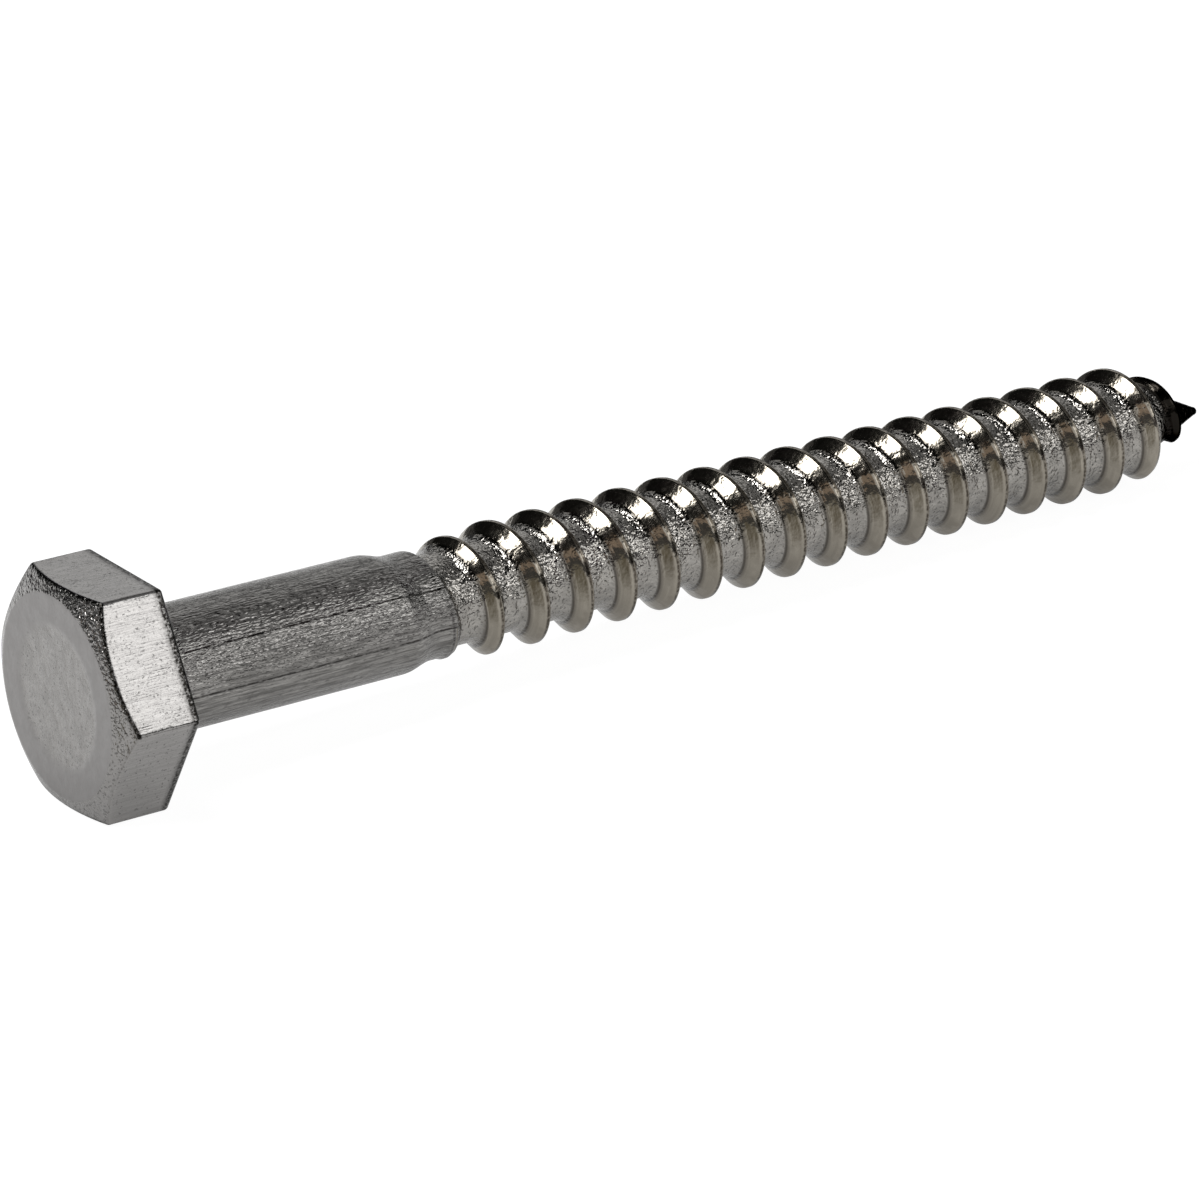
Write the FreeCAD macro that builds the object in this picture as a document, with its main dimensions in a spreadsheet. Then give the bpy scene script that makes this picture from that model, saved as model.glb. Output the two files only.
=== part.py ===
"""Coach screw: a hexagon head, a plain shank and a coarse wood thread on a gimlet point.

The screw is drawn with its axis along Z, from the middle of the head's underside towards the
point. It is then laid down, point towards +X, as it lies by itself: on one flat of its head and
on the thread's crests.
"""
import FreeCAD
import Part

import math
import os

import Sketcher

V = FreeCAD.Vector

SIZES = [
    ("across_flats", 17.0, "mm, width of the hexagon"),
    ("head_height", 6.1, "mm, from the underside to the face"),
    ("face_diameter", 15.3, "mm, circle where the corner chamfer meets the face"),
    ("chamfer_radius", 19.3, "mm, ball that takes the corners off the face"),
    ("dish_diameter", 10.9, "mm, shallow forged disc in the face"),
    ("dish_depth", 0.18, "mm"),
    ("dish_wall", 0.35, "mm, width of the slope round the disc"),
    ("edge_round", 0.4, "mm, radius along the six upright edges and round the underside"),
    ("neck_slope", 0.4, "mm, size of the 45 degree neck between the underside and the shank"),
    ("shank_diameter", 9.4, "mm"),
    ("shank_length", 22.5, "mm, shank at its full diameter"),
    ("waist_diameter", 8.6, "mm, the narrower blank beside the thread"),
    ("waist_taper", 1.8, "mm, slope from the shank to the waist"),
    ("waist_length", 1.9, "mm, straight part of the waist"),
    ("shoulder_slope", 60.0, "degrees from the axis, from the waist down to the core"),
    ("screw_length", 101.0, "mm, from the underside to the point"),
    ("thread_diameter", 9.9, "mm, over the crests"),
    ("core_diameter", 7.3, "mm, at the root"),
    ("thread_pitch", 4.0, "mm, right-hand"),
    ("first_crest", 28.0, "mm, first place where the crest is on top"),
    ("crest_width", 0.38, "mm, flat top of the ridge"),
    ("head_flank", 43.0, "degrees from square, long flank towards the head"),
    ("tip_flank", 27.0, "degrees from square, steep flank towards the point"),
    ("ridge_toe", 0.3, "mm, width of each flank where the ridge has no height yet"),
    ("lead_in", 9.0, "mm, along which the ridge rises to its full height"),
    ("lead_out", 2.8, "mm, along which the ridge dies away on the point"),
    ("point_length", 8.4, "mm, the cone and its blunt nose"),
    ("nose_radius", 0.35, "mm, ball that ends the cone"),
    ("nose_gap", 1.0, "mm, from the end of the ridge to the nose"),
]

SIDES = 6
POINTS_PER_HALF_TURN = 14
NOSE_RINGS = (0, 45)  # degrees round the ball, from its widest ring
CLOSE = 1e-3  # mm, within which two places are the same


def make_sheet(doc):
    """Keep the driving sizes in a spreadsheet, one named cell each."""
    sheet = doc.addObject("Spreadsheet::Sheet", "sizes")
    for row, (name, value, note) in enumerate(SIZES, 1):
        sheet.set("A%d" % row, name)
        sheet.set("B%d" % row, str(value))
        sheet.set("C%d" % row, note)
        sheet.setAlias("B%d" % row, name)
    doc.recompute()
    return sheet


def with_sheet(expression):
    """Write an expression of size names so that each name points at the sheet's cell."""
    for name, _, _ in SIZES:
        expression = expression.replace(name, "sizes." + name)
    return expression


def new_sketch(body, name, role):
    """A sketch of that name on the body's own origin plane of that role."""
    sketch = body.newObject("Sketcher::SketchObject", name)
    plane = next(item for item in body.Origin.OriginFeatures if item.Role == role)
    sketch.AttachmentSupport = [(plane, "")]
    sketch.MapMode = "FlatFace"
    return sketch


def hold(sketch, kind, line, expression):
    """Hold the start of a line at a distance from the sketch's origin, bound to the sheet."""
    value = float(sketch.evalExpression(with_sheet(expression)))
    index = sketch.addConstraint(Sketcher.Constraint(kind, -1, 1, line, 1, value))
    sketch.setExpression("Constraints[%d]" % index, with_sheet(expression))


def outline(body, name, corners):
    """A closed outline in the XZ plane, each corner given as (radius, place along the axis).

    A radius of "0" lies on the axis.
    """
    sketch = new_sketch(body, name, "XZ_Plane")
    points = [V(*(float(sketch.evalExpression(with_sheet(text))) for text in corner)) for corner in corners]
    count = len(corners)
    for index, point in enumerate(points):
        sketch.addGeometry(Part.LineSegment(point, points[(index + 1) % count]), False)
    for index in range(count):
        sketch.addConstraint(Sketcher.Constraint("Coincident", index, 2, (index + 1) % count, 1))
    for index, (radius, place) in enumerate(corners):
        if radius == "0":
            sketch.addConstraint(Sketcher.Constraint("PointOnObject", index, 1, -2))
        else:
            hold(sketch, "DistanceX", index, radius)
        hold(sketch, "DistanceY", index, place)
    return sketch


def turned(body, kind, name, sketch):
    """Turn an outline once round the screw's axis, adding or removing material."""
    feature = body.newObject(kind, name)
    feature.Profile = sketch
    feature.ReferenceAxis = (sketch, ["V_Axis"])
    feature.Angle = 360
    body.Document.recompute()
    return feature


def rounded(body, name, base, is_edge, size):
    """Round the edges of a feature that pass a test."""
    feature = body.newObject("PartDesign::Fillet", name)
    names = ["Edge%d" % number for number, edge in enumerate(base.Shape.Edges, 1) if is_edge(edge)]
    feature.Base = (base, names)
    feature.setExpression("Radius", with_sheet(size))
    body.Document.recompute()
    return feature


def hexagon(body):
    """The head's hexagon, with corners on the Y axis so that two flats face along X."""
    sketch = new_sketch(body, "hexagon", "XY_Plane")
    corner = "across_flats / 2 / cos(%d)" % (180 / SIDES)
    radius = float(sketch.evalExpression(with_sheet(corner)))
    angles = [math.radians(90 + 360 / SIDES * step) for step in range(SIDES)]
    points = [V(radius * math.cos(angle), radius * math.sin(angle), 0) for angle in angles]
    for index, point in enumerate(points):
        sketch.addGeometry(Part.LineSegment(point, points[(index + 1) % SIDES]), False)
    ring = sketch.addGeometry(Part.Circle(V(0, 0, 0), V(0, 0, 1), radius), True)
    sketch.addConstraint(Sketcher.Constraint("Coincident", ring, 3, -1, 1))
    for index in range(SIDES):
        sketch.addConstraint(Sketcher.Constraint("Coincident", index, 2, (index + 1) % SIDES, 1))
        sketch.addConstraint(Sketcher.Constraint("PointOnObject", index, 1, ring))
    for index in range(SIDES - 1):
        sketch.addConstraint(Sketcher.Constraint("Equal", index, index + 1))
    sketch.addConstraint(Sketcher.Constraint("PointOnObject", 0, 1, -2))
    size = sketch.addConstraint(Sketcher.Constraint("Radius", ring, radius))
    sketch.setExpression("Constraints[%d]" % size, with_sheet(corner))
    return sketch


def is_outer_edge(edge):
    """True for an edge that reaches the plane of the head's underside."""
    return abs(edge.BoundBox.ZMax) < CLOSE


def chamfer_outline(body):
    """What the corner chamfer takes off: from the face's edge along a ball centred on the axis."""
    sketch = new_sketch(body, "chamfer_outline", "XZ_Plane")

    def value(expression):
        return float(sketch.evalExpression(with_sheet(expression)))

    face_radius = "face_diameter / 2"
    clear_of_corners = "across_flats / 2 / cos(%d) + edge_round" % (180 / SIDES)
    start = V(value(face_radius), value("-head_height"))
    radius = value("chamfer_radius")
    middle = V(0, start.y + math.sqrt(radius ** 2 - start.x ** 2))
    reach = value(clear_of_corners)
    end = V(reach, middle.y - math.sqrt(radius ** 2 - reach ** 2))
    below = V(reach, start.y)

    ball = Part.Circle(middle, V(0, 0, 1), radius)
    arc = sketch.addGeometry(Part.ArcOfCircle(ball, ball.parameter(start), ball.parameter(end)), False)
    side = sketch.addGeometry(Part.LineSegment(end, below), False)
    face = sketch.addGeometry(Part.LineSegment(below, start), False)
    for line, follower in ((arc, side), (side, face), (face, arc)):
        sketch.addConstraint(Sketcher.Constraint("Coincident", line, 2, follower, 1))
    sketch.addConstraint(Sketcher.Constraint("PointOnObject", arc, 3, -2))
    size = sketch.addConstraint(Sketcher.Constraint("Radius", arc, radius))
    sketch.setExpression("Constraints[%d]" % size, with_sheet("chamfer_radius"))
    hold(sketch, "DistanceX", arc, face_radius)
    hold(sketch, "DistanceY", arc, "-head_height")
    hold(sketch, "DistanceX", side, clear_of_corners)
    hold(sketch, "DistanceX", face, clear_of_corners)
    hold(sketch, "DistanceY", face, "-head_height")
    return sketch


def make_blank(doc):
    """The head and the plain shank, as far as the root of the first thread."""
    body = doc.addObject("PartDesign::Body", "blank")

    head = body.newObject("PartDesign::Pad", "head")
    head.Profile = hexagon(body)
    head.Reversed = True
    head.setExpression("Length", with_sheet("head_height"))
    doc.recompute()
    rounded(body, "rounded_head", head, is_outer_edge, "edge_round")

    turned(body, "PartDesign::Groove", "corner_chamfer", chamfer_outline(body))
    turned(body, "PartDesign::Groove", "face_dish", outline(body, "dish_outline", [
        ("0", "-head_height"),
        ("0", "-head_height + dish_depth"),
        ("dish_diameter / 2 - dish_wall", "-head_height + dish_depth"),
        ("dish_diameter / 2", "-head_height")]))

    waist_start = "shank_length + waist_taper"
    waist_end = waist_start + " + waist_length"
    below_root = "(core_diameter / 2 - nose_radius)"
    shoulder_end = "%s + (waist_diameter / 2 - %s) / tan(shoulder_slope)" % (waist_end, below_root)
    turned(body, "PartDesign::Revolution", "shank", outline(body, "shank_outline", [
        ("0", "-head_height / 2"),
        ("shank_diameter / 2 + neck_slope", "-head_height / 2"),
        ("shank_diameter / 2 + neck_slope", "0"),
        ("shank_diameter / 2", "neck_slope"),
        ("shank_diameter / 2", "shank_length"),
        ("waist_diameter / 2", waist_start),
        ("waist_diameter / 2", waist_end),
        (below_root, shoulder_end),
        ("0", shoulder_end)]))
    return body


class Thread:
    """The core, the ridge wound on it and the point, as strips between helical lines.

    The strips run in half turns. Each line follows one corner of the ridge's section: the foot
    and the crest on the head's side, then the crest and the foot on the point's side.
    """

    def __init__(self, sheet):
        self.pitch = sheet.thread_pitch
        self.first_crest = sheet.first_crest
        self.core = sheet.core_diameter / 2
        self.full_height = sheet.thread_diameter / 2 - self.core
        self.half_crest = sheet.crest_width / 2
        self.toe = sheet.ridge_toe
        self.head_run = math.tan(math.radians(sheet.head_flank))
        self.tip_run = math.tan(math.radians(sheet.tip_flank))

        self.nose_radius = sheet.nose_radius
        self.nose_start = sheet.screw_length - self.nose_radius
        self.cone_start = sheet.screw_length - sheet.point_length
        self.cone_slope = (self.core - self.nose_radius) / (self.nose_start - self.cone_start)

        self.rise_start = sheet.shank_length + sheet.waist_taper
        self.lead_in = sheet.lead_in
        self.end = self.nose_start - sheet.nose_gap
        self.lead_out = sheet.lead_out
        self.half_turns = 2 * math.ceil((self.end - sheet.shank_length) / self.pitch)
        self.start = self.end - self.half_turns * self.pitch / 2

    def core_at(self, place):
        """Radius of the core, or of the cone, at a place along the axis."""
        return self.core - max(0.0, place - self.cone_start) * self.cone_slope

    def height_at(self, place):
        """Height of the crest: none inside the waist, full on the core, none at the point."""
        risen = min(1.0, max(0.0, (place - self.rise_start) / self.lead_in))
        left = min(1.0, max(0.0, (self.end - place) / self.lead_out))
        return self.full_height * risen * (2 - risen) * left * (2 - left)

    def section(self, place):
        """The ridge's four corners, as (place, radius)."""
        height = self.height_at(place)
        toe = self.toe * (1 - height / self.full_height)
        crest_start = place - self.half_crest
        crest_end = place + self.half_crest
        head_foot = crest_start - toe - height * self.head_run
        tip_foot = crest_end + toe + height * self.tip_run
        return [
            (head_foot, self.core_at(head_foot)),
            (crest_start, self.core_at(crest_start) + height),
            (crest_end, self.core_at(crest_end) + height),
            (tip_foot, self.core_at(tip_foot))]

    def line(self, half_turn, corner_at):
        """A smooth line over one half turn, through corner_at(place) = (place, radius)."""
        def point(turned_halves):
            place = self.start + self.pitch * turned_halves / 2
            angle = 2 * math.pi * (place - self.first_crest) / self.pitch + math.pi
            along, radius = corner_at(place)
            return V(radius * math.cos(angle), radius * math.sin(angle), along)

        nudge = 1e-5
        last = half_turn + 1
        steps = [step / POINTS_PER_HALF_TURN for step in range(POINTS_PER_HALF_TURN + 1)]
        curve = Part.BSplineCurve()
        curve.interpolate(
            Points=[point(half_turn + step) for step in steps],
            Parameters=steps,
            InitialTangent=(point(half_turn + nudge) - point(half_turn)) / nudge,
            FinalTangent=(point(last) - point(last - nudge)) / nudge,
            Scale=False)
        return curve.toShape()

    def corner_line(self, half_turn, number):
        """One corner of the ridge over a half turn."""
        return self.line(half_turn, lambda place: self.section(place)[number])

    def ring(self, place, radius):
        """A circle as two half turns, in step with the ridge."""
        return [self.line(half_turn, lambda _: (place, radius)) for half_turn in (0, 1)]

    def solid(self):
        """Sew the strips, from a ring inside the shank to the ball of the nose."""
        ridge = [[self.corner_line(half_turn, number) for number in range(4)]
                 for half_turn in range(self.half_turns)]
        foot = self.ring(self.start - self.pitch / 2, self.core)
        nose = []
        for angle in map(math.radians, NOSE_RINGS):
            nose.append(self.ring(self.nose_start + self.nose_radius * math.sin(angle),
                                  self.nose_radius * math.cos(angle)))

        strips = []
        for half_turn, lines in enumerate(ridge):
            strips.append((foot[half_turn] if half_turn < 2 else ridge[half_turn - 2][3], lines[0]))
            strips.extend(zip(lines, lines[1:]))
        for half, last_lines in enumerate(ridge[-2:]):
            strips.append((last_lines[3], nose[0][half]))
            strips.extend((low[half], high[half]) for low, high in zip(nose, nose[1:]))

        forward = 1
        faces = [Part.makeRuledSurface(low, high, forward) for low, high in strips]
        faces.extend(Part.Face(Part.Wire(ends)) for ends in (foot, nose[-1]))
        shell = Part.makeShell(faces)
        shell.sewShape()
        solid = Part.makeSolid(shell)
        if solid.Volume < 0:
            solid.reverse()
        return solid


def lay_down(screw):
    """Turn the finished screw from upright to how it lies, on a flat and on its last full crest.

    A crest is underneath half a pitch after it was on top.
    """
    screw.Placement = FreeCAD.Placement(V(0, 0, 0), FreeCAD.Rotation(V(0, 1, 0), 90))
    full_turns = "floor((screw_length - point_length - first_crest) / thread_pitch - 0.5)"
    last_crest = "(first_crest + thread_pitch * (%s + 0.5) + crest_width / 2)" % full_turns
    drop = "((across_flats - thread_diameter) / 2)"
    tilt = "atan(%s / (%s + edge_round))" % (drop, last_crest)
    screw.setExpression("Placement.Rotation.Angle", with_sheet("90 deg + " + tilt))


def check(doc):
    """Stop if any object failed or any solid is unsound."""
    for item in doc.Objects:
        if {"Invalid", "Error"} & set(item.State):
            raise RuntimeError("%s failed: %s" % (item.Name, item.State))
        shape = getattr(item, "Shape", None)
        if shape is not None and (shape.isNull() or not shape.isValid()):
            raise RuntimeError("%s has no valid shape" % item.Name)


def main():
    """Build the screw and write its solid."""
    doc = FreeCAD.newDocument("one_screw")
    sheet = make_sheet(doc)
    blank = make_blank(doc)
    thread = doc.addObject("Part::Feature", "thread")
    thread.Shape = Thread(sheet).solid()
    screw = doc.addObject("Part::Fuse", "coach_screw")
    screw.Base = blank
    screw.Tool = thread
    doc.recompute()
    lay_down(screw)
    doc.recompute()
    check(doc)
    if len(screw.Shape.Solids) != 1:
        raise RuntimeError("the screw is not one solid")
    print("volume %.1f mm3, tilt %.3f degrees, box %s" % (
        screw.Shape.Volume, math.degrees(screw.Placement.Rotation.Angle) - 90, screw.Shape.BoundBox))
    os.makedirs("parts", exist_ok=True)
    screw.Shape.exportStep("parts/%s.step" % screw.Label)


main()
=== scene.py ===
"""Coach screw, dressed: one closed mesh with its rounds, its dish and its rolled thread, in stainless steel.

The mesh is made in millimetres in the screw's own frame: Z runs along the axis from the middle of the
head's underside to the point, and -X is up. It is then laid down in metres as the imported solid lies.
"""

import logging
import math
from collections.abc import Mapping, Sequence
from dataclasses import dataclass, field
from enum import Enum
from functools import partial

import bmesh
import bpy
from bpy.types import ID, Material, Mesh, Node, NodeSocket, NodeTree, Object, World
from mathutils import Matrix, Vector

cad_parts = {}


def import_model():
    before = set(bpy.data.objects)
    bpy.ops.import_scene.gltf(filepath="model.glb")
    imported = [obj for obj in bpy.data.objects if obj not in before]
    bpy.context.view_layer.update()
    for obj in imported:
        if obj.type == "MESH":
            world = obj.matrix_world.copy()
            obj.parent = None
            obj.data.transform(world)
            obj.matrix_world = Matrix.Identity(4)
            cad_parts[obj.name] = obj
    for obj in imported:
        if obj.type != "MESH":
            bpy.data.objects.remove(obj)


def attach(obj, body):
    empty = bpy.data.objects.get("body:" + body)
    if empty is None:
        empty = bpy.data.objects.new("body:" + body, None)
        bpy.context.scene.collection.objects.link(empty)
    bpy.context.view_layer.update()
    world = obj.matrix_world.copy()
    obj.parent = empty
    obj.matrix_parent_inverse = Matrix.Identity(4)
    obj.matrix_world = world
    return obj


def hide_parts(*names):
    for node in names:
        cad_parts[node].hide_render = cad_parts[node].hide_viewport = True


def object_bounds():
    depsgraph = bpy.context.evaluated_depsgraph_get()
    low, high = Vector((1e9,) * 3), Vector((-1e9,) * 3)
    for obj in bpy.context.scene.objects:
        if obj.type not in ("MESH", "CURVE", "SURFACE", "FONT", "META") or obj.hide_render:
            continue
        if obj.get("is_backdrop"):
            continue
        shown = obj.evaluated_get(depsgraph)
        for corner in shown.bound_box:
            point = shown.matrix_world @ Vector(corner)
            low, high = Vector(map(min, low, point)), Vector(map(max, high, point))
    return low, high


LOG = logging.getLogger("coach_screw")
METRES_PER_MM = 0.001
MM_PER_METRE = 1000.0
MERGE_GAP = 0.002  # mm between points of the mesh that are one
RAMP = "ShaderNodeMapRange"
MIX = "ShaderNodeMix"

# Two values of a pattern or a measure, between which a mark fades.
Band = tuple[float, float]


def linear(hex_code: str) -> tuple[float, float, float, float]:
    """Turn an sRGB hex colour into linear light.

    Args:
        hex_code: six hexadecimal digits, red first.

    Returns:
        Linear red, green and blue, and an alpha of 1.
    """
    channels = (int(hex_code[start:start + 2], 16) / 255 for start in (0, 2, 4))
    red, green, blue = (c / 12.92 if c <= 0.04045 else ((c + 0.055) / 1.055) ** 2.4 for c in channels)
    return red, green, blue, 1.0


def add_node(tree: NodeTree, kind: str, inputs: Mapping | Sequence = (), **settings: object) -> Node:
    """Add a node with its settings and links.

    Args:
        tree: the tree that gets the node.
        kind: the node's type name, or the operation of a math node in capitals.
        inputs: what each input gets, by name or in order: a node stands for its first output, a
            socket is linked, None leaves the input alone, and anything else is its value.
        settings: the node's own settings.

    Returns:
        The new node.
    """
    node = tree.nodes.new("ShaderNodeMath" if kind.isupper() else kind)
    if kind.isupper():
        node.operation = kind
    for name, value in settings.items():
        setattr(node, name, value)
    for key, value in inputs.items() if isinstance(inputs, Mapping) else enumerate(inputs):
        if isinstance(value, Node):
            value = value.outputs[0]
        if isinstance(value, NodeSocket):
            tree.links.new(value, node.inputs[key])
        elif value is not None:
            node.inputs[key].default_value = value
    return node


def on_circle(tree: NodeTree, angle: Node, radius: Node | float) -> list[Node]:
    """Add nodes that give a point on a circle.

    Args:
        tree: the tree that gets them.
        angle: the node that gives the angle in radians.
        radius: the circle's radius.

    Returns:
        The nodes that give the point's two coordinates.
    """
    found = []
    for part in ("COSINE", "SINE"):
        unit = add_node(tree, part, [angle])
        found.append(add_node(tree, "MULTIPLY", [unit, radius]))
    return found


def empty_tree(owner: Material | World) -> NodeTree:
    """Give a new material or world a node tree with nothing in it.

    Args:
        owner: the material or the world.

    Returns:
        Its tree.
    """
    owner.use_nodes = True
    owner.node_tree.nodes.clear()
    return owner.node_tree


def add_object(name: str, data: ID) -> Object:
    """Put a new object into the scene.

    Args:
        name: the object's name.
        data: its mesh, lamp or camera.

    Returns:
        The object.
    """
    new = bpy.data.objects.new(name, data)
    bpy.context.scene.collection.objects.link(new)
    return new


class Zone(Enum):
    """Parts of the surface that were made in different ways, in the order of the mesh's material slots."""

    FACE = 0
    CHAMFER = 1
    FLAT = 2
    UNDERSIDE = 3
    SHANK = 4
    THREAD = 5


class Mark(Enum):
    """What the mesh's points tell the finishes, by attribute name."""

    RELIEF = "relief"  # 0 in the dish and at the thread's root, 1 on what stands proud
    EDGE = "edge"  # 1 where an edge or a crest gets painted dark reflection


@dataclass
class Ring:
    """One ring of points, with the zone that follows it and its marks."""

    zone: Zone
    points: list[Vector]
    relief: float = 0.0
    # painted dark reflection along an edge, from 0 to 1
    edge: float = 0.0


def join_rings(mesh: bmesh.types.BMesh, low: Sequence, high: Sequence, zone: Zone) -> None:
    """Close the surface between two rings with the same number of points.

    Args:
        mesh: the mesh that gets the faces.
        low: the points of the first ring.
        high: the points of the ring after it.
        zone: the zone of the faces.
    """
    for index, vert in enumerate(low):
        after = (index + 1) % len(low)
        mesh.faces.new((vert, low[after], high[after], high[index])).material_index = zone.value


@dataclass(frozen=True)
class ScrewSizes:
    """The screw's real sizes in millimetres, as its source has them, with angles in degrees."""

    across_flats: float = 17.0
    head_height: float = 6.1
    face_radius: float = 7.65
    chamfer_radius: float = 19.3
    dish_radius: float = 5.45
    dish_depth: float = 0.18
    dish_wall: float = 0.35
    edge_round: float = 0.4
    shank_radius: float = 4.7
    shoulder_slope: float = 60.0
    screw_length: float = 101.0
    thread_radius: float = 4.95
    core_radius: float = 3.65
    thread_pitch: float = 4.0
    first_crest: float = 28.0
    crest_width: float = 0.38
    head_flank: float = 43.0
    tip_flank: float = 27.0
    ridge_toe: float = 0.3
    point_length: float = 8.4
    nose_radius: float = 0.35

    @property
    def cone_start(self) -> float:
        """Place where the core turns into the cone of the point."""
        return self.screw_length - self.point_length

    @property
    def nose_start(self) -> float:
        """Place of the middle of the ball that ends the cone."""
        return self.screw_length - self.nose_radius

    @property
    def cone_slope(self) -> float:
        """How fast the cone's radius falls along the axis."""
        return (self.core_radius - self.nose_radius) / (self.nose_start - self.cone_start)

    @property
    def tilt(self) -> float:
        """How far the point hangs down, when the screw lies on a flat and on its last full crest.

        Returns:
            The angle in radians.
        """
        turns = math.floor((self.cone_start - self.first_crest) / self.thread_pitch - 0.5)
        last_crest = self.first_crest + self.thread_pitch * (turns + 0.5) + self.crest_width / 2
        return math.atan((self.across_flats / 2 - self.thread_radius) / (last_crest + self.edge_round))

    def cone_radius(self, place: float) -> float:
        """Radius of the core or of the cone at a place along the axis."""
        return self.core_radius - max(0.0, place - self.cone_start) * self.cone_slope

    def lying(self) -> Matrix:
        """The move from the screw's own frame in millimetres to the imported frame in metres."""
        turn = Matrix.Rotation(math.radians(90) + self.tilt, 4, "Y")
        return turn @ Matrix.Scale(METRES_PER_MM, 4)


@dataclass
class Blank:
    """The cold-headed head and the drawn shank, as a stack of rings from the face to the thread.

    Every ring has the same number of points. On the head they crowd at the six corners, and along
    the shank they spread out evenly, to meet the thread's rings point for point. Lengths are in
    millimetres, and the edge mark, from 0 to 1, is painted dark reflection along the edges.
    """

    sizes: ScrewSizes
    sides: int = 6
    flat_points: int = 17
    flat_reach: float = 0.985
    corner_points: int = 5
    corner_round: float = 0.42
    # Painted dark reflection down the six corners.
    corner_scale: float = 0.75
    disc_radii: tuple[float, ...] = (0.3, 0.9, 1.6, 2.4, 3.2, 4.0, 4.6)
    wall_steps: int = 10
    wall_spread: float = 2.6
    face_insets: tuple[float, ...] = (1.6, 1.1, 0.6, 0.3, 0.12)
    face_drop: float = 0.01
    face_round: float = 0.1
    chamfer_steps: int = 7
    chamfer_edge: float = 0.18
    edge_steps: int = 4
    # Painted dark reflection along the chamfer's worn edge, with little on one side.
    edge_scale: float = 1.8
    edge_phase: float = 0.15
    edge_span: float = 0.8
    clean_side: int = 5
    clean_share: float = 0.15
    flat_shares: tuple[float, ...] = (0.02, 0.1, 0.25, 0.4, 0.55, 0.7, 0.85, 0.93, 0.96, 1.0)
    # Painted dark reflection on the flats near the round at the underside.
    scale_start: float = 0.9
    scale_rise: float = 0.06
    under_shares: tuple[float, ...] = (0.04, 0.3, 0.6, 0.9, 1.0)
    arc_steps: int = 6
    neck_radius: float = 0.5
    # Painted shade at the neck under the head.
    neck_scale: float = 0.6
    end: float = 18.2
    ring_gap: float = 0.5
    outline: list[tuple[float, float, float, float]] = field(init=False)

    def __post_init__(self) -> None:
        """Work out the head's outline once."""
        self.outline = self.make_outline()

    @property
    def points(self) -> int:
        """Number of points in every ring."""
        return self.sides * (self.flat_points + self.corner_points)

    def make_outline(self) -> list[tuple[float, float, float, float]]:
        """The head's six-sided outline with round corners.

        Returns:
            For each point its place (x, y), and the way (x, y) that it moves if the outline shrinks.
        """
        inner = self.sizes.across_flats / 2
        half_side = math.radians(180 / self.sides)
        half_flat = (inner - self.corner_round) * math.tan(half_side)
        hub = (inner - self.corner_round) / math.cos(half_side)
        last = self.flat_points - 1
        evenly = (2 * step / (last - 2) - 1 for step in range(last - 1))
        shares = [-1.0] + [self.flat_reach * share for share in evenly] + [1.0]
        found = []
        for side in range(self.sides):
            facing = 2 * half_side * side
            out = Vector((math.cos(facing), math.sin(facing)))
            along = Vector((-out.y, out.x))
            for share in shares:
                place = out * inner + along * (share * half_flat)
                found.append((place.x, place.y, out.x, out.y))
            corner = Vector((math.cos(facing + half_side), math.sin(facing + half_side))) * hub
            for step in range(1, self.corner_points + 1):
                turn = facing + 2 * half_side * step / (self.corner_points + 1)
                way = Vector((math.cos(turn), math.sin(turn)))
                place = corner + way * self.corner_round
                found.append((place.x, place.y, way.x, way.y))
        return found

    def hexagon(self, inset: float, height_at: float | None) -> list[Vector]:
        """A ring along the head's outline.

        Args:
            inset: how far the outline is drawn in, in mm.
            height_at: the ring's place along the axis, or None for where the chamfer meets it.

        Returns:
            The ring's points.
        """
        ring = []
        for x, y, out_x, out_y in self.outline:
            point = Vector((x - out_x * inset, y - out_y * inset, 0.0))
            point.z = self.chamfer_at(point.length) if height_at is None else height_at
            ring.append(point)
        return ring

    def circle(self, radius: float, place: float, evenness: float = 0.0) -> list[Vector]:
        """A round ring.

        Args:
            radius: its radius in mm.
            place: its place along the axis.
            evenness: 0 for the head's own angles, 1 for even ones.

        Returns:
            The ring's points.
        """
        step = math.tau / self.points
        first = (self.flat_points - 1) // 2
        ring = []
        for index, (x, y, _, _) in enumerate(self.outline):
            even = step * (index - first)
            own = math.atan2(y, x)
            own += math.tau * round((even - own) / math.tau)
            angle = own + (even - own) * evenness
            ring.append(Vector((radius * math.cos(angle), radius * math.sin(angle), place)))
        return ring

    def chamfer_at(self, radius: float) -> float:
        """Where the ball that takes the corners off the face is along the axis.

        Args:
            radius: how far from the axis, in mm.

        Returns:
            The place in mm.
        """
        ball = self.sizes.chamfer_radius
        middle = math.sqrt(ball ** 2 - self.sizes.face_radius ** 2) - self.sizes.head_height
        return middle - math.sqrt(ball ** 2 - radius ** 2)

    def face_rings(self) -> list[Ring]:
        """The face from the middle of its dish to the chamfer.

        Returns:
            The rings, from the middle outwards.
        """
        s = self.sizes
        face = -s.head_height
        floor = face + s.dish_depth
        rings = [Ring(Zone.FACE, self.circle(radius, floor)) for radius in self.disc_radii]
        for step in range(self.wall_steps + 1):
            share = step / self.wall_steps
            rise = share * share * (3 - 2 * share)
            radius = s.dish_radius - s.dish_wall / 2 + s.dish_wall * self.wall_spread * (share - 0.5)
            rings.append(Ring(Zone.FACE, self.circle(radius, floor - s.dish_depth * rise), relief=rise))
        for inset in self.face_insets:
            rings.append(Ring(Zone.FACE, self.circle(s.face_radius - inset, face), relief=1.0))
        rings.append(Ring(Zone.CHAMFER, self.circle(s.face_radius, face + self.face_drop), relief=1.0))
        outer = s.face_radius + self.face_round
        rings.append(Ring(Zone.CHAMFER, self.circle(outer, self.chamfer_at(outer))))
        return rings

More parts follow.
